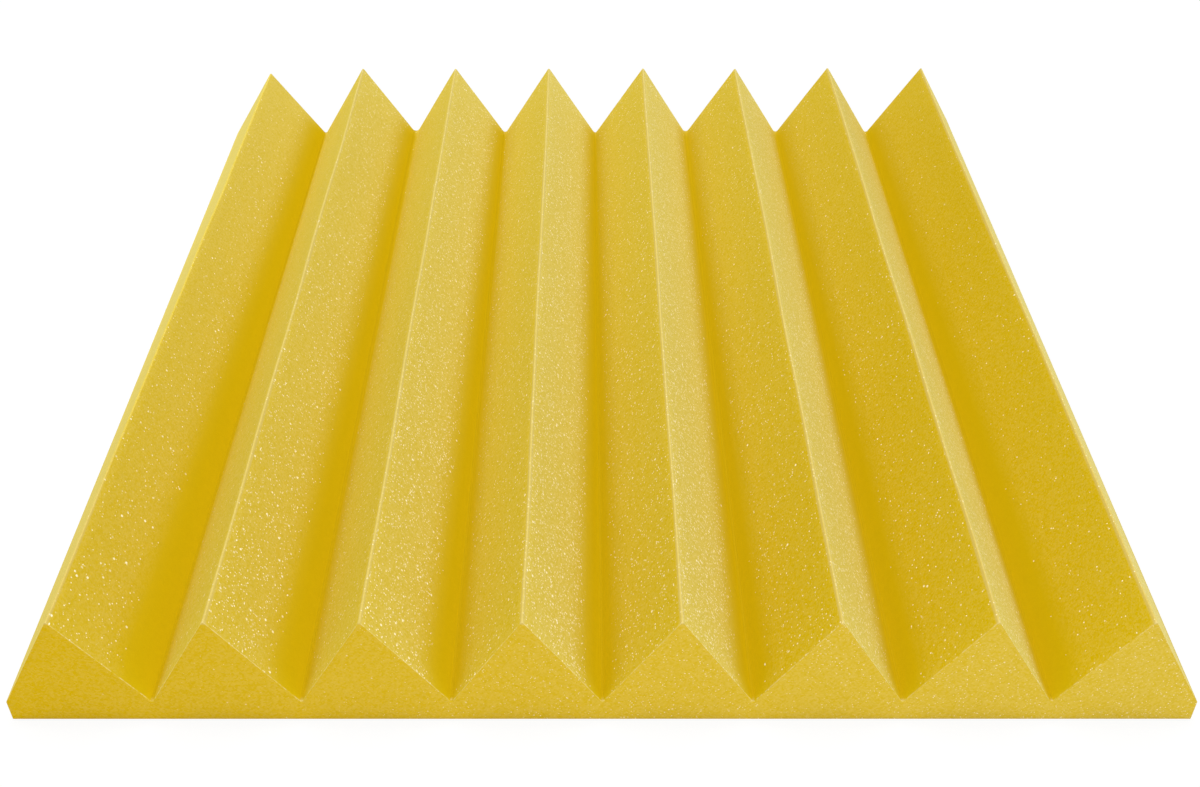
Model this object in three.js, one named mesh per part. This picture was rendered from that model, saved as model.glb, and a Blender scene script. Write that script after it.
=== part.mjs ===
// Acoustic foam panel, the wedge type. It is one block of open-cell polyurethane
// foam: a flat slab at the back, and straight parallel wedges at the front, parted
// by valleys that a thin blade cuts right through from one end to the other.
// Lengths are millimetres. The origin is the centre of the flat back face, +Z goes
// from the back to the ridges, and the ridges run along Y.

import * as THREE from 'three';

// Driving dimensions
const tileWidth = 500; // across the ridges, from side wall to side wall
const tileLength = 500; // along the ridges, from end to end
const panelThickness = 60; // from the back face to the tops of the ridges
const baseThickness = 11; // solid slab at the back, which is also the side walls' height
const wedgeCount = 8;
const ridgeRadius = 0.6; // the top of a ridge isn't a knife edge
const valleyRadius = 1.6; // the blade turns round at the root of a valley

// Facets in half of an arc
const ridgeArcSteps = 2;
const valleyArcSteps = 4;

// What follows from them
const wedgePitch = tileWidth / wedgeCount;
const flankRun = wedgePitch / 2;
const ridgeCentreHeight = panelThickness - ridgeRadius;
const flankRise = ridgeCentreHeight - baseThickness;

// A flank is the straight line from the foot of the wedge that touches the round top
// from outside. Its lean is measured from upright.
const flankLean =
  Math.atan2(flankRun, flankRise) - Math.asin(ridgeRadius / Math.hypot(flankRun, flankRise));

// Both flanks of a valley would meet at the top of the slab. The round root touches
// them from above, so its floor lies a little higher than the slab.
const valleyCentreHeight = baseThickness + valleyRadius / Math.sin(flankLean);

// Across the panel, with the first wedge at the -X wall
function ridgePlace(index) {
  return (index + 1 / 2) * wedgePitch - tileWidth / 2;
}

function valleyPlace(index) {
  return (index + 1) * wedgePitch - tileWidth / 2;
}

// Points on an arc from one angle to another, both ends included
function arcPoints(centreX, centreY, radius, fromAngle, toAngle, halfSteps) {
  const sweep = new THREE.EllipseCurve(
    centreX,
    centreY,
    radius,
    radius,
    fromAngle,
    toAngle,
    toAngle < fromAngle,
  );
  return sweep.getPoints(2 * halfSteps);
}

// The round top of a ridge, from its right flank over to its left flank
function ridgeTop(index) {
  return arcPoints(
    ridgePlace(index),
    ridgeCentreHeight,
    ridgeRadius,
    flankLean,
    Math.PI - flankLean,
    ridgeArcSteps,
  );
}

// The round root of a valley, from the flank on its right down and up to the left one
function valleyRoot(index) {
  return arcPoints(
    valleyPlace(index),
    valleyCentreHeight,
    valleyRadius,
    -flankLean,
    flankLean - Math.PI,
    valleyArcSteps,
  );
}

// The section across the ridges, drawn as the blade sees it: along the back, up the
// right wall, over the wedges from right to left, and down the left wall
function wedgeSection() {
  const points = [
    new THREE.Vector2(-tileWidth / 2, 0),
    new THREE.Vector2(tileWidth / 2, 0),
    new THREE.Vector2(tileWidth / 2, baseThickness),
  ];
  for (let index = wedgeCount - 1; index >= 0; index -= 1) {
    points.push(...ridgeTop(index));
    if (index > 0) {
      points.push(...valleyRoot(index - 1));
    }
  }
  points.push(new THREE.Vector2(-tileWidth / 2, baseThickness));
  return new THREE.Shape(points);
}

// Open-cell foam scatters light like a dry powder: no gloss at all
function foamMaterial() {
  return new THREE.MeshStandardMaterial({
    color: 0xd8b63a,
    roughness: 0.95,
    metalness: 0,
  });
}

// The whole panel is one piece of foam, cut square at both ends
function foamPanel() {
  const geometry = new THREE.ExtrudeGeometry(wedgeSection(), {
    depth: tileLength,
    bevelEnabled: false,
  });
  const panel = new THREE.Mesh(geometry, foamMaterial());
  panel.name = 'foam_panel';
  panel.rotation.x = Math.PI / 2;
  panel.position.y = tileLength / 2;
  return panel;
}

const acousticFoamPanel = new THREE.Group();
acousticFoamPanel.add(foamPanel());

export default acousticFoamPanel;
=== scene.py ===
import math

import bmesh
import bpy
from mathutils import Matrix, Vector


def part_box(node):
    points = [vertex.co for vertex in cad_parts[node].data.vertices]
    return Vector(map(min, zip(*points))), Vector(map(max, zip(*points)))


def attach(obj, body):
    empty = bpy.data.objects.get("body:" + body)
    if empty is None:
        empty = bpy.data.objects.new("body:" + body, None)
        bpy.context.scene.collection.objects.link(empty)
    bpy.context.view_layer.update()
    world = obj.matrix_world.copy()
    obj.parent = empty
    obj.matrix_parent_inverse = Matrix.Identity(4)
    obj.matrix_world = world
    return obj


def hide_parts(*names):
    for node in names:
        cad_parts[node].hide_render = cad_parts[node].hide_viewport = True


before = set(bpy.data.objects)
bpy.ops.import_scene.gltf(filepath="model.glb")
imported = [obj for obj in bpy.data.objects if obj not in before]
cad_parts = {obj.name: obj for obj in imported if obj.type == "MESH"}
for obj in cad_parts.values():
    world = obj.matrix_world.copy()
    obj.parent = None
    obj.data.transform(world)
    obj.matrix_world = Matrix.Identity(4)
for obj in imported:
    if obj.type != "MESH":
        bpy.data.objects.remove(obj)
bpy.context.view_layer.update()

MM = 0.001
PANEL = "foam_panel"

# Sizes of the tile. Its back lies on z = 0 and its ridges run along y, front end at -y.
WEDGES = 8
HALF_WIDTH = 250 * MM
HALF_LENGTH = 250 * MM
SLAB = 11 * MM
RIDGE_ROUND = 0.6 * MM
EDGE_ROUND = 0.45 * MM

# The blade turns round tighter at the front end than at the rear
FRONT_VALLEY_ROUNDS = [0.9 * MM] * (WEDGES - 1)
REAR_VALLEY_ROUNDS = [radius * MM for radius in (1.3, 2.8, 1.8, 1.3, 2.4, 1.9, 1.7)]

# How far the ridges and valleys of the photographed tile stand beside their even places
FRONT_RIDGE_SHIFTS = [shift * MM for shift in (-2.7, -2.8, -2.7, -0.2, 1.2, 2.5, 2.4, 2.5)]
REAR_RIDGE_SHIFTS = [shift * MM for shift in (-1.4, -0.7, -0.7, 0, 1, 0.7, 0.8, 1.4)]
FRONT_VALLEY_SHIFTS = [shift * MM for shift in (-1, -0.9, -0.5, 0.4, 1.2, 1.3, 1.1)]
REAR_VALLEY_SHIFTS = [shift * MM for shift in (-0.5, 0, -0.5, -0.3, 0.2, 0.2, 0.5)]

# How the rear end is off square: to one side, its right corner trimmed, its left ridge lower
REAR_SHIFT = -4.1 * MM
REAR_RIGHT_TRIM = 7 * MM
REAR_LEFT_DROP = 3.6 * MM

# How far the cuts wander: direction, length and reach of each wave
WAVES = (
    ("side_drift", "X", 90 * MM, 0.9 * MM),
    ("height_drift", "Z", 70 * MM, 0.9 * MM),
    ("fine_drift", "Z", 9 * MM, 0.16 * MM),
)

# The mesh: how finely each part of it is divided
RIDGE_STEPS = 4
VALLEY_STEPS = 6
EDGE_STEPS = 3
FLANK_COLUMNS = 12
END_ROWS = 8
LENGTH_BLOCKS = 10
BLOCK_ROWS = 15

# The mesh: from what length an edge runs across the tile or up it, along the whole tile, or along
# one block of it, and how near two points are the same
CROSS_EDGE = 5 * MM
LONG_EDGE = 100 * MM
LONG_BLOCK = 40 * MM
NEAR = 0.01 * MM

# The mesh: which angles are cut edges, are shaded sharp or part the islands of the UV map
CUT_ANGLE = math.radians(60)
SHARP_ANGLE = math.radians(31)
UV_ANGLE = math.radians(50)
UV_MARGIN = 0.003

# Colours of the foam. The lit slope colours are painted light over the dim foam, the shaded foam
# and the root colour are painted shade, the window is a pale speck with a painted glint, the ridge
# highlight and the flank light are painted light, and the rim is paler foam. A left slope is one
# that faces left.
DIM_FOAM = "#bea000"
END_CUT = "#c9a500"
LIT_LEFT_SLOPE = "#d3be3f"
LIT_RIGHT_SLOPE = "#d3c056"
SHADED_FOAM = "#bfa30b"
PAINTED_ROOT_SHADE = "#ab8e0a"
WINDOW_AND_GLINT = "#f6f0ce"
PAINTED_RIDGE_HIGHLIGHT = "#c0ae70"
PAINTED_FLANK_LIGHT = "#e8dca8"
PALE_RIM = "#dccfa0"

# Each range below holds the inputs of a map range node: what goes in, and what it comes out as
# where that isn't 0 to 1
SMOOTH = {"interpolation_type": "SMOOTHSTEP"}

# Ranges of one part of the face's normal: to the right, to either end, and up
FACES_RIGHT = {"From Min": -0.8, "From Max": 0.8}
FACES_END = {"From Min": 0.6, "From Max": 0.95}
FACES_UP = {"From Min": 0.1, "From Max": 0.4}
LIES_FLAT = {"From Min": 0.55, "From Max": 0.95}

# Painted light: the foam is drawn paler where lamp light and sheen would fall. How lit a point
# counts is its place toward the rear times 0.35, plus its distance from the line x = -95 mm times
# how far its slope faces right.
PAINTED_LIGHT_OFFSET = 95 * MM
PAINTED_LIGHT_REAR = 0.35
PAINTED_SLOPE_LIGHT = {"From Min": -0.227, "From Max": 0.172}
PAINTED_END_LIGHT = {"From Min": -HALF_WIDTH, "From Max": HALF_WIDTH, "To Max": 0.35}

# Painted shade in the valleys, by height. A height counts for more or less by SHADE_SLANT and
# SHADE_TILT on the slopes, by SHADE_REAR along the tile, and by SHADE_END at the end cuts.
SHADE = {"From Min": 30 * MM, "From Max": 10.2 * MM}
SHADE_SLANT = 0.034
SHADE_TILT = 2.8 * MM
SHADE_REAR = 0.012
SHADE_END = {"From Min": 238 * MM, "From Max": 250 * MM, "To Max": 3 * MM}

# Painted light at the foot of a slope: a little paler, by height, and less so the deeper the painted shade is
FOOT = {"From Min": 24 * MM, "From Max": 12 * MM}
PAINTED_FOOT_LIGHT = 0.12
FOOT_IN_SHADE = {"To Min": 1.0, "To Max": 0.35}

# Cells: their width, and the share that keeps a whole window, a pale speck with a painted glint, on the left
# and right slopes
CELLS = (
    (0.8 * MM, {"To Min": 0.12, "To Max": 0.42}),
    (1.4 * MM, {"To Min": 0.01, "To Max": 0.12}),
)

# A window ends at this share of a cell, and few of them are bright
WINDOW_RIM = {"From Min": 0.6, "From Max": 0.25}
FEW_BRIGHT = 1.6

# By how much that share differs: in patches, from the left wall inwards, toward the rear, where
# the painted light is weak, and in the painted shade
PATCH = 70 * MM
PATCH_DETAIL = 1.0
PATCH_SHARE = {"From Min": 0.35, "From Max": 0.65, "To Min": 0.8, "To Max": 1.2}
WALL_SHARE = {"From Min": -220 * MM, "From Max": -50 * MM, "To Min": 0.15, "To Max": 1.0}
REAR_SHARE = {"From Min": -HALF_LENGTH, "From Max": HALF_LENGTH, "To Min": 1.0, "To Max": 0.75}
DIM_SHARE = {"From Min": -0.24, "From Max": -0.1, "To Min": 0.2, "To Max": 1.0}
SHADE_SHARE = {"From Min": 0.15, "From Max": 0.8, "To Min": 1.0, "To Max": 0.0}

# Tone and paleness of the cells without a window, and the cloudiness over them. The paleness grows with the
# painted light and is gone in the painted shade.
CELL_TONE = {"To Min": 0.985, "To Max": 1.015}
CELL_PALENESS = {"To Min": 0.05, "To Max": 0.14}
CLOUD = 3 * MM
CLOUD_DETAIL = 2.0
CLOUD_TONE = {"From Min": 0.3, "From Max": 0.7, "To Min": 0.99, "To Max": 1.01}

# How the surface is: the depth of a cell and how much of it shows, and no gloss
CELL_DEPTH = 0.12 * MM
CELL_RELIEF = 0.25
FOAM_ROUGHNESS = 0.95
FOAM_GLOSS = 0.0

# Pale lines: the height of the painted highlight along the ridges, the distance from the middle
# of the outer flanks, which are painted paler for the light from the sides, the turn of the pale
# rim from the end cut to the slope, and how much of the pale colours shows
RIDGE_HIGHLIGHT_BAND = {"From Min": 58.6 * MM, "From Max": 59.6 * MM, "To Max": 0.5}
OUTER_FLANK = {"From Min": 160 * MM, "From Max": 185 * MM}
FLANK_LIGHT_SHARE = 0.18
RIM_OUTER = {"From Min": 0.95, "From Max": 0.8}
RIM_INNER = {"From Min": 0.05, "From Max": 0.2}
RIM_PALENESS = 0.4

# The studio. The floor lies a hair below the tile, and shows as nearly white.
WHITE = (1, 1, 1, 1)
FLOOR_SIZE = 12
FLOOR_DROP = 0.05 * MM
FLOOR_PAPER = "#e6e6e6"
FLOOR_WHITE = 0.9
WORLD_FILL = 0.57

# Each softbox has its place, the length of its sides in metres, and its watts
SOFTBOXES = (
    ("top_softbox", (0.1, 0.1, 2.6), 1.4, 56),
    ("front_softbox", (0.15, -1.25, 0.65), 0.7, 4.9),
    ("left_softbox", (-1.2, 0.1, 1.3), 0.5, 3.5),
)
LAMP_TARGET = Vector((0, 0, 0.03))

# The camera, found from 40 points of the photograph: its turn in degrees, its place in metres
PHOTO_WIDTH_PX = 1200
SENSOR = 36
CAMERA_FOCAL_PX = 1406
CAMERA_TURN = (51.51, 0.07, 0.05)
CAMERA_PLACE = (0.0003, -0.6310, 0.4796)


def deselect_all():
    bpy.ops.object.select_all(action="DESELECT")


def select_in(panel, kind, wanted):
    """Selects the vertices or edges that pass the test, in edit mode."""
    bpy.ops.mesh.select_mode(type=kind)
    bpy.ops.mesh.select_all(action="DESELECT")
    cage = bmesh.from_edit_mesh(panel.data)
    for item in {"VERT": cage.verts, "EDGE": cage.edges}[kind]:
        if wanted(item):
            item.select = True
    cage.select_flush_mode()
    bmesh.update_edit_mesh(panel.data)


def section_stations(width, height, ridge_shifts, valley_shifts, valley_rounds):
    """(x, height) of each long line of the wedge section, from the left wall to the right."""
    pitch = width / WEDGES
    run = pitch / 2
    ridge_centre = height - RIDGE_ROUND
    rise = ridge_centre - SLAB
    lean = math.atan2(run, rise) - math.asin(RIDGE_ROUND / math.hypot(run, rise))
    sweep = math.pi - 2 * lean
    stations = []
    for wedge in range(WEDGES):
        ridge = (wedge + 0.5) * pitch - width / 2 + ridge_shifts[wedge]
        for step in range(RIDGE_STEPS + 1):
            angle = math.pi - lean - sweep * step / RIDGE_STEPS
            x = ridge + RIDGE_ROUND * math.cos(angle)
            stations.append((x, ridge_centre + RIDGE_ROUND * math.sin(angle)))
        if wedge < WEDGES - 1:
            radius = valley_rounds[wedge]
            valley = (wedge + 1) * pitch - width / 2 + valley_shifts[wedge]
            centre = SLAB + radius / math.sin(lean)
            for step in range(VALLEY_STEPS + 1):
                angle = math.pi + lean + sweep * step / VALLEY_STEPS
                stations.append((valley + radius * math.cos(angle), centre + radius * math.sin(angle)))
    return stations


def panel_cage(low, high):
    """The tile as eight plain wedges.

    It is a slab that is cut along each line of the section, with those lines raised and their
    rear ends moved to where they are on the photographed tile.
    """
    width, length, height = high - low
    middle = (low + high) / 2
    deselect_all()
    bpy.ops.mesh.primitive_cube_add(
        size=1, location=(middle.x, middle.y, low.z + SLAB / 2), scale=(width, length, SLAB)
    )
    panel = bpy.context.object
    panel.name = panel.data.name = "wedge_foam"
    bpy.ops.object.transform_apply(location=True, rotation=True, scale=True)
    bpy.ops.object.mode_set(mode="EDIT")
    front = section_stations(width, height, FRONT_RIDGE_SHIFTS, FRONT_VALLEY_SHIFTS, FRONT_VALLEY_ROUNDS)
    rear = section_stations(width, height, REAR_RIDGE_SHIFTS, REAR_VALLEY_SHIFTS, REAR_VALLEY_ROUNDS)
    for x, _ in front:
        bpy.ops.mesh.select_all(action="SELECT")
        bpy.ops.mesh.bisect(plane_co=(x, 0, 0), plane_no=(1, 0, 0))
    for x, z in front:
        select_in(panel, "VERT", lambda vert: abs(vert.co.x - x) < NEAR and vert.co.z > SLAB / 2)
        bpy.ops.transform.translate(value=(0, 0, low.z + z - SLAB))
    for (x, z), (rear_x, rear_z) in zip(front, rear):
        start = Vector((x, high.y, low.z + z))
        select_in(panel, "VERT", lambda vert: (vert.co - start).length < NEAR)
        bpy.ops.transform.translate(value=(rear_x - x, 0, rear_z - z))
    return panel


def trim_askew(panel, low, high):
    """Puts the rear end askew.

    There the right wall stands further in and higher up the flank, the left ridge is lower, and
    the whole end lies to the left.
    """
    run = (high.x - low.x) / WEDGES / 2
    flank_tangent = (high.z - low.z - SLAB) / run
    corner = Vector((high.x, high.y))
    select_in(panel, "VERT", lambda vert: (vert.co.xy - corner).length < NEAR and vert.co.z > SLAB / 2)
    bpy.ops.transform.translate(value=(0, 0, REAR_RIGHT_TRIM * flank_tangent))
    select_in(panel, "VERT", lambda vert: (vert.co.xy - corner).length < NEAR)
    bpy.ops.transform.translate(value=(-REAR_RIGHT_TRIM, 0, 0))
    left_ridge = Vector((low.x + run + REAR_RIDGE_SHIFTS[0], high.y, high.z))
    select_in(panel, "VERT", lambda vert: (vert.co - left_ridge).length < 2 * RIDGE_ROUND)
    bpy.ops.transform.translate(value=(0, 0, -REAR_LEFT_DROP))
    select_in(panel, "VERT", lambda vert: vert.co.y > high.y - NEAR)
    bpy.ops.transform.translate(value=(REAR_SHIFT, 0, 0))


def soften_edges():
    """Rounds the cut edges of the ends, the walls and the back."""
    bpy.ops.mesh.select_mode(type="EDGE")
    bpy.ops.mesh.select_all(action="DESELECT")
    bpy.ops.mesh.edges_select_sharp(sharpness=CUT_ANGLE)
    bpy.ops.mesh.bevel(
        offset=EDGE_ROUND, offset_type="OFFSET", segments=EDGE_STEPS, affect="EDGES", clamp_overlap=True
    )


def lay_out_uv(panel):
    bpy.ops.mesh.select_all(action="SELECT")
    bpy.ops.uv.smart_project(angle_limit=UV_ANGLE, island_margin=UV_MARGIN)
    panel.data.uv_layers.active.name = "OFBake"


def divide_panel(panel):
    """Divides the faces into an even grid."""

    def across(edge):
        a, b = (vert.co for vert in edge.verts)
        return abs(a.x - b.x) > CROSS_EDGE and abs(a.y - b.y) < CROSS_EDGE

    def upright(edge):
        a, b = (vert.co for vert in edge.verts)
        return abs(a.x - b.x) < CROSS_EDGE and abs(a.y - b.y) < CROSS_EDGE and abs(a.z - b.z) > CROSS_EDGE

    def lengthwise(edge):
        a, b = (vert.co for vert in edge.verts)
        return abs(a.y - b.y) > LONG_EDGE

    def block_long(edge):
        return edge.calc_length() > LONG_BLOCK

    for wanted, pieces in (
        (across, FLANK_COLUMNS),
        (upright, END_ROWS),
        (lengthwise, LENGTH_BLOCKS),
        (block_long, BLOCK_ROWS),
    ):
        select_in(panel, "EDGE", wanted)
        bpy.ops.mesh.subdivide(number_cuts=pieces - 1)


def make_wavy(panel, height):
    """Lets the long cuts wander a little, as a blade does in soft foam. The back stays flat."""
    lifted = panel.vertex_groups.new(name="lifted")
    for vert in panel.data.vertices:
        lifted.add([vert.index], max(0, vert.co.z - SLAB / 2) / height, "REPLACE")
    for name, axis, size, reach in WAVES:
        texture = bpy.data.textures.new(name, "CLOUDS")
        texture.noise_scale = size
        texture.noise_depth = 0
        wave = panel.modifiers.new(name, "DISPLACE")
        wave.texture = texture
        wave.texture_coords = "LOCAL"
        wave.direction = axis
        wave.strength = reach
        wave.mid_level = 0.5
        wave.vertex_group = "lifted"
        bpy.ops.object.modifier_apply(modifier=name)
    panel.vertex_groups.clear()


def make_panel():
    low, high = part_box(PANEL)
    panel = panel_cage(low, high)
    trim_askew(panel, low, high)
    soften_edges()
    lay_out_uv(panel)
    divide_panel(panel)
    bpy.ops.object.mode_set(mode="OBJECT")
    deselect_all()
    panel.select_set(True)
    bpy.context.view_layer.objects.active = panel
    bpy.ops.object.shade_smooth_by_angle(angle=SHARP_ANGLE)
    make_wavy(panel, high.z - low.z)
    return panel


def add_node(tree, kind, inputs=None, **settings):
    """Adds a node with its settings, and sets or links its inputs.

    A mix node takes its factor at 0, numbers at 2 and 3 and colours at 6 and 7. Its colour comes
    out at 2.
    """
    node = tree.nodes.new(kind)
    for name, value in settings.items():
        setattr(node, name, value)
    for key, value in (inputs or {}).items():
        if isinstance(value, bpy.types.NodeSocket):
            tree.links.new(value, node.inputs[key])
        else:
            node.inputs[key].default_value = value
    return node.outputs


def linear(hex_colour):
    """An sRGB hex colour as linear RGBA."""
    values = [int(hex_colour[i : i + 2], 16) / 255 for i in (1, 3, 5)]
    return tuple(v / 12.92 if v <= 0.04045 else ((v + 0.055) / 1.055) ** 2.4 for v in values) + (1.0,)


def valley_shade(tree, place, face):
    """How deep a point lies in the painted shade of a valley, how near its root, and how much
    painted light lifts the foot of its slope, from 0 to 1.

    The painted shade reaches further up the slopes that face the middle of the tile, and further
    at the front than at the rear. It draws back a little at the two end cuts, where light comes in.
    """
    slant = add_node(
        tree, "ShaderNodeMath", {0: place[0], 1: SHADE_SLANT, 2: -SHADE_TILT}, operation="MULTIPLY_ADD"
    )[0]
    level = add_node(tree, "ShaderNodeMath", {0: slant, 1: face[0], 2: place[2]}, operation="MULTIPLY_ADD")[0]
    level = add_node(
        tree, "ShaderNodeMath", {0: place[1], 1: SHADE_REAR, 2: level}, operation="MULTIPLY_ADD"
    )[0]
    from_middle = add_node(tree, "ShaderNodeMath", {0: place[1]}, operation="ABSOLUTE")[0]
    lift = add_node(tree, "ShaderNodeMapRange", {"Value": from_middle, **SHADE_END}, **SMOOTH)[0]
    level = add_node(tree, "ShaderNodeMath", {0: level, 1: lift}, operation="ADD")[0]
    depth = add_node(tree, "ShaderNodeMapRange", {"Value": level, **SHADE}, **SMOOTH)[0]
    upward = add_node(tree, "ShaderNodeMapRange", {"Value": face[2], **FACES_UP}, **SMOOTH)[0]
    flat = add_node(tree, "ShaderNodeMapRange", {"Value": face[2], **LIES_FLAT}, **SMOOTH)[0]
    deep = add_node(tree, "ShaderNodeMath", {0: depth, 1: upward}, operation="MULTIPLY")[0]
    root = add_node(tree, "ShaderNodeMath", {0: deep, 1: flat}, operation="MULTIPLY")[0]
    foot = add_node(tree, "ShaderNodeMapRange", {"Value": place[2], **FOOT}, **SMOOTH)[0]
    in_shade = add_node(tree, "ShaderNodeMapRange", {"Value": deep, **FOOT_IN_SHADE})[0]
    for part in (in_shade, upward):
        foot = add_node(tree, "ShaderNodeMath", {0: foot, 1: part}, operation="MULTIPLY")[0]
    return deep, root, foot


def colour_with_light_and_shade(tree, place, face, deep, root):
    """The bare foam's colour with painted light and shade, how much painted light it has, and how
    much it faces right and outwards.

    The foam is painted paler in place of the lamps' light and sheen: toward the rear and on the
    slopes that face outwards most, at the right of the end cuts a little, and in the valleys not at
    all. The valleys get painted shade instead, darker at their roots.
    """
    facing_end = add_node(tree, "ShaderNodeMath", {0: face[1]}, operation="ABSOLUTE")[0]
    end_face = add_node(tree, "ShaderNodeMapRange", {"Value": facing_end, **FACES_END}, **SMOOTH)[0]
    end_light = add_node(tree, "ShaderNodeMapRange", {"Value": place[0], **PAINTED_END_LIGHT})[0]
    offset = add_node(tree, "ShaderNodeMath", {0: place[0], 1: PAINTED_LIGHT_OFFSET}, operation="ADD")[0]
    outwards = add_node(tree, "ShaderNodeMath", {0: offset, 1: face[0]}, operation="MULTIPLY")[0]
    light = add_node(
        tree, "ShaderNodeMath", {0: place[1], 1: PAINTED_LIGHT_REAR, 2: outwards}, operation="MULTIPLY_ADD"
    )[0]
    # Painted light: paler where the lamps and sheen would light the slope
    slope_light = add_node(tree, "ShaderNodeMapRange", {"Value": light, **PAINTED_SLOPE_LIGHT})[0]
    right_slope = add_node(tree, "ShaderNodeMapRange", {"Value": face[0], **FACES_RIGHT}, **SMOOTH)[0]
    painted_light, faces_right = (
        add_node(tree, "ShaderNodeMix", {0: end_face, 2: on_slope, 3: end_light}, data_type="FLOAT")[0]
        for on_slope in (slope_light, right_slope)
    )
    dim_colour, lit_colour = (
        add_node(tree, "ShaderNodeMix", {0: factor, 6: linear(one), 7: linear(other)}, data_type="RGBA")[2]
        for factor, one, other in ((end_face, DIM_FOAM, END_CUT), (right_slope, LIT_LEFT_SLOPE, LIT_RIGHT_SLOPE))
    )
    dye_light_and_shade = add_node(tree, "ShaderNodeMix", {0: painted_light, 6: dim_colour, 7: lit_colour}, data_type="RGBA")[2]
    # Painted shade in the valleys, darker still at their roots
    for share, colour in ((deep, SHADED_FOAM), (root, PAINTED_ROOT_SHADE)):
        dye_light_and_shade = add_node(tree, "ShaderNodeMix", {0: share, 6: dye_light_and_shade, 7: linear(colour)}, data_type="RGBA")[2]
    return dye_light_and_shade, painted_light, faces_right, outwards


def window_share(tree, coordinates, place, outwards, openness):
    """By how much the share of cells with a window differs from place to place."""
    patches = add_node(
        tree, "ShaderNodeTexNoise", {"Vector": coordinates, "Scale": 1 / PATCH, "Detail": PATCH_DETAIL}
    )[0]
    share, *other_shares = (
        add_node(tree, "ShaderNodeMapRange", {"Value": value, **reach})[0]
        for value, reach in (
            (patches, PATCH_SHARE),
            (place[0], WALL_SHARE),
            (place[1], REAR_SHARE),
            (outwards, DIM_SHARE),
        )
    )
    for part in (*other_shares, openness):
        share = add_node(tree, "ShaderNodeMath", {0: share, 1: part}, operation="MULTIPLY")[0]
    return share


def cell_windows(tree, coordinates, width, share):
    """Cells of one width: how strongly each shines with a painted glint, its own tone, and the distance to
    its middle.
    """
    cells = add_node(tree, "ShaderNodeTexVoronoi", {"Vector": coordinates, "Scale": 1 / width})
    tone, chance, shine = add_node(tree, "ShaderNodeSeparateColor", {0: cells["Color"]})
    whole = add_node(tree, "ShaderNodeMath", {0: chance, 1: share}, operation="LESS_THAN")[0]
    spot = add_node(tree, "ShaderNodeMapRange", {"Value": cells["Distance"], **WINDOW_RIM}, **SMOOTH)[0]
    glint = add_node(tree, "ShaderNodeMath", {0: shine, 1: FEW_BRIGHT}, operation="POWER")[0]
    for part in (spot, whole):
        glint = add_node(tree, "ShaderNodeMath", {0: glint, 1: part}, operation="MULTIPLY")[0]
    return glint, tone, cells["Distance"]


def pale_ridges_flanks_and_rims(tree, place, face, colour, cell_tone):
    """A painted pale highlight along the ridge tops, and paler foam along the rims of the end cuts, cell
    by cell.

    The two outer flanks are painted paler, for the light that falls on them from the sides.
    """
    # Painted light on the two outer flanks, which get light from the sides
    outwards = add_node(tree, "ShaderNodeMath", {0: place[0], 1: face[0]}, operation="MULTIPLY")[0]
    outer_flank = add_node(tree, "ShaderNodeMapRange", {"Value": outwards, **OUTER_FLANK}, **SMOOTH)[0]
    flank_light = add_node(tree, "ShaderNodeMath", {0: outer_flank, 1: FLANK_LIGHT_SHARE}, operation="MULTIPLY")[0]
    # Painted highlight along the ridge tops
    ridge = add_node(tree, "ShaderNodeMapRange", {"Value": place[2], **RIDGE_HIGHLIGHT_BAND}, **SMOOTH)[0]
    facing_end = add_node(tree, "ShaderNodeMath", {0: face[1]}, operation="ABSOLUTE")[0]
    # Paler foam along the rims of the end cuts, cell by cell
    rim_line = add_node(tree, "ShaderNodeMath", {0: cell_tone, 1: RIM_PALENESS}, operation="MULTIPLY")[0]
    for reach in (RIM_OUTER, RIM_INNER):
        part = add_node(tree, "ShaderNodeMapRange", {"Value": facing_end, **reach}, **SMOOTH)[0]
        rim_line = add_node(tree, "ShaderNodeMath", {0: rim_line, 1: part}, operation="MULTIPLY")[0]
    for share, pale in ((flank_light, PAINTED_FLANK_LIGHT), (ridge, PAINTED_RIDGE_HIGHLIGHT), (rim_line, PALE_RIM)):
        colour = add_node(tree, "ShaderNodeMix", {0: share, 6: colour, 7: linear(pale)}, data_type="RGBA")[2]
    return colour


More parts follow.
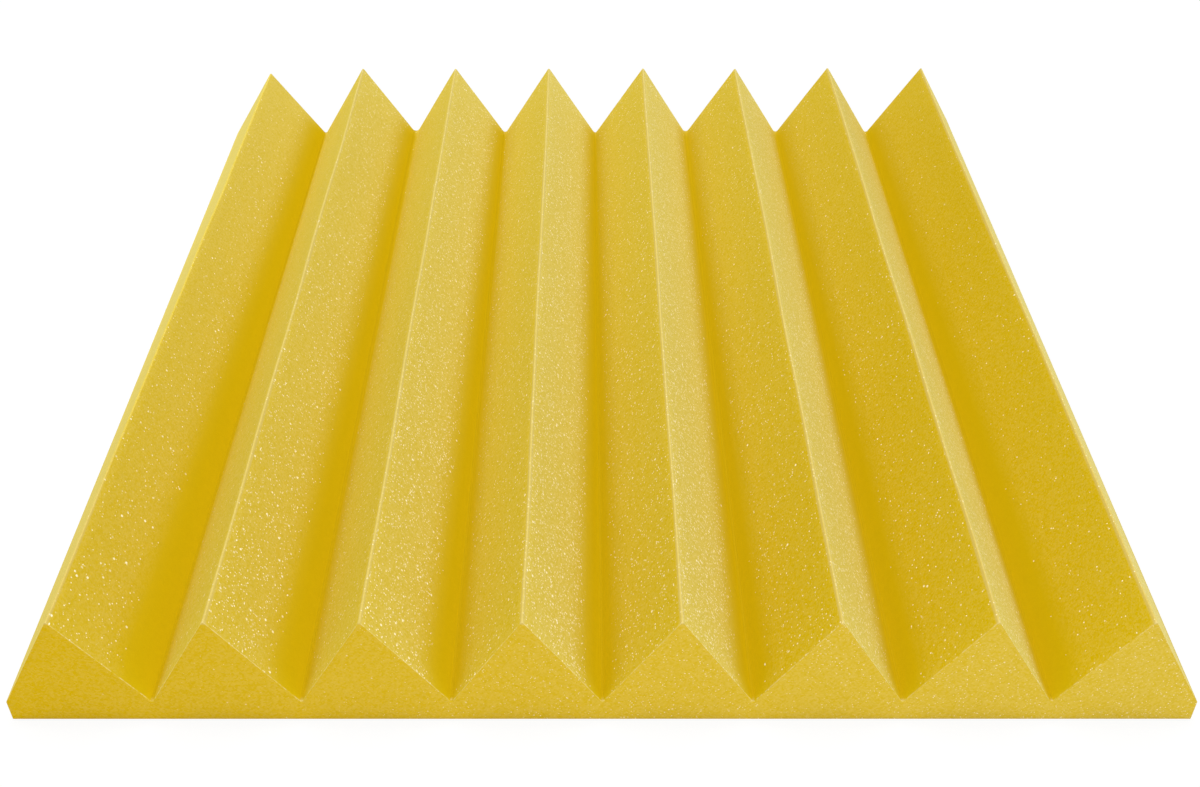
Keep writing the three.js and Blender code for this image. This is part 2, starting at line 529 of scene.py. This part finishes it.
def foam_material():
    """Flexible polyurethane foam, open celled, cut with a knife blade and left bare.

    The cut opens thousands of cells about half a millimetre wide, so the surface is dull and
    powdery, with a pale speck where a cell kept its window. Its glint is painted into the colour,
    mostly on the right slopes. The cells are drawn 0.8 and 1.4 mm wide, since finer ones would be
    lost between the pixels.
    """
    material = bpy.data.materials.new("knife_cut_polyurethane_foam")
    material.use_nodes = True
    tree = material.node_tree
    tree.nodes.clear()
    texture_space = add_node(tree, "ShaderNodeTexCoord")
    coordinates = texture_space["Object"]
    place = add_node(tree, "ShaderNodeSeparateXYZ", {0: coordinates})
    face = add_node(tree, "ShaderNodeSeparateXYZ", {0: texture_space["Normal"]})
    deep, root, foot = valley_shade(tree, place, face)
    dye_light_and_shade, painted_light, faces_right, outwards = colour_with_light_and_shade(tree, place, face, deep, root)

    # Some cells keep a pale window with a painted glint, mostly on the right slopes and none in the painted
    # shade
    openness = add_node(tree, "ShaderNodeMapRange", {"Value": deep, **SHADE_SHARE})[0]
    near_share = window_share(tree, coordinates, place, outwards, openness)
    windows = []
    for width, side_share in CELLS:
        share = add_node(tree, "ShaderNodeMapRange", {"Value": faces_right, **side_share})[0]
        share = add_node(tree, "ShaderNodeMath", {0: near_share, 1: share}, operation="MULTIPLY")[0]
        windows.append(cell_windows(tree, coordinates, width, share))
    (fine_glint, fine_tone, fine_distance), (coarse_glint, coarse_tone, _) = windows
    glint = add_node(tree, "ShaderNodeMath", {0: fine_glint, 1: coarse_glint}, operation="MAXIMUM")[0]

    # Each cell has its own tone and paleness, under a soft cloudiness, and the foot of a slope gets painted
    # light
    tone_gain = add_node(tree, "ShaderNodeMapRange", {"Value": fine_tone, **CELL_TONE})[0]
    cloud = add_node(
        tree, "ShaderNodeTexNoise", {"Vector": coordinates, "Scale": 1 / CLOUD, "Detail": CLOUD_DETAIL}
    )[0]
    cloud_gain = add_node(tree, "ShaderNodeMapRange", {"Value": cloud, **CLOUD_TONE})[0]
    gain = add_node(tree, "ShaderNodeMath", {0: foot, 1: PAINTED_FOOT_LIGHT, 2: 1.0}, operation="MULTIPLY_ADD")[0]
    for part in (tone_gain, cloud_gain):
        gain = add_node(tree, "ShaderNodeMath", {0: gain, 1: part}, operation="MULTIPLY")[0]
    toned = add_node(tree, "ShaderNodeVectorMath", {0: dye_light_and_shade, "Scale": gain}, operation="SCALE")[0]
    pale = add_node(tree, "ShaderNodeMapRange", {"Value": painted_light, **CELL_PALENESS})[0]
    for part in (openness, fine_tone):
        pale = add_node(tree, "ShaderNodeMath", {0: pale, 1: part}, operation="MULTIPLY")[0]
    # Pale windows with their painted glint
    pale = add_node(tree, "ShaderNodeMath", {0: glint, 1: pale}, operation="MAXIMUM")[0]
    speckled = add_node(tree, "ShaderNodeMix", {0: pale, 6: toned, 7: linear(WINDOW_AND_GLINT)}, data_type="RGBA")[2]

    relief = add_node(
        tree,
        "ShaderNodeBump",
        {"Strength": CELL_RELIEF, "Distance": CELL_DEPTH, "Height": fine_distance},
        invert=True,
    )[0]
    shader = add_node(
        tree,
        "ShaderNodeBsdfPrincipled",
        {
            "Base Color": pale_ridges_flanks_and_rims(tree, place, face, speckled, coarse_tone),
            "Roughness": FOAM_ROUGHNESS,
            "Specular IOR Level": FOAM_GLOSS,
            "Normal": relief,
        },
    )[0]
    add_node(tree, "ShaderNodeOutputMaterial", {"Surface": shader})
    return material


def shown_white(tree, share):
    """The share by which a surface shows as white to the camera and in reflections."""
    ray = add_node(tree, "ShaderNodeLightPath")
    seen = ray["Is Camera Ray"]
    for kind in ("Is Glossy Ray", "Is Transmission Ray"):
        seen = add_node(tree, "ShaderNodeMath", {0: seen, 1: ray[kind]}, operation="MAXIMUM")[0]
    return add_node(tree, "ShaderNodeMath", {0: seen, 1: share}, operation="MULTIPLY")[0]


def make_floor():
    """A floor of matt white paper, which takes a soft shadow and shows as nearly white."""
    deselect_all()
    bpy.ops.mesh.primitive_plane_add(size=FLOOR_SIZE, location=(0, 0, -FLOOR_DROP))
    floor = bpy.context.object
    floor.name = floor.data.name = "floor"
    material = bpy.data.materials.new("white_paper_floor")
    material.use_nodes = True
    tree = material.node_tree
    tree.nodes.clear()
    paper = add_node(tree, "ShaderNodeBsdfDiffuse", {"Color": linear(FLOOR_PAPER)})[0]
    white = add_node(tree, "ShaderNodeEmission", {"Color": WHITE, "Strength": 1.0})[0]
    mixed = add_node(tree, "ShaderNodeMixShader", {0: shown_white(tree, FLOOR_WHITE), 1: paper, 2: white})[0]
    add_node(tree, "ShaderNodeOutputMaterial", {"Surface": mixed})
    floor.data.materials.append(material)


def make_world():
    """White all round, which lights the tile with less than it shows."""
    world = bpy.data.worlds.new("studio")
    bpy.context.scene.world = world
    world.use_nodes = True
    tree = world.node_tree
    tree.nodes.clear()
    fill, white = (
        add_node(tree, "ShaderNodeBackground", {"Color": WHITE, "Strength": strength})[0]
        for strength in (WORLD_FILL, 1.0)
    )
    mixed = add_node(tree, "ShaderNodeMixShader", {0: shown_white(tree, 1.0), 1: fill, 2: white})[0]
    add_node(tree, "ShaderNodeOutputWorld", {"Surface": mixed})


def make_lamps():
    for name, place, size, watts in SOFTBOXES:
        data = bpy.data.lights.new(name, "AREA")
        data.shape = "SQUARE"
        data.size = size
        data.energy = watts
        lamp = bpy.data.objects.new(name, data)
        bpy.context.collection.objects.link(lamp)
        lamp.location = place
        lamp.rotation_euler = (lamp.location - LAMP_TARGET).to_track_quat("Z", "Y").to_euler()


def make_camera():
    data = bpy.data.cameras.new("camera")
    camera = bpy.data.objects.new("camera", data)
    bpy.context.collection.objects.link(camera)
    data.sensor_width = SENSOR
    data.lens = CAMERA_FOCAL_PX * SENSOR / PHOTO_WIDTH_PX
    camera.location = CAMERA_PLACE
    camera.rotation_euler = [math.radians(angle) for angle in CAMERA_TURN]
    bpy.context.scene.camera = camera


panel = make_panel()
panel.data.materials.append(foam_material())
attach(panel, "root")
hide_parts(PANEL)

make_floor()
make_world()
make_lamps()
make_camera()
bpy.context.scene.view_settings.view_transform = "Standard"
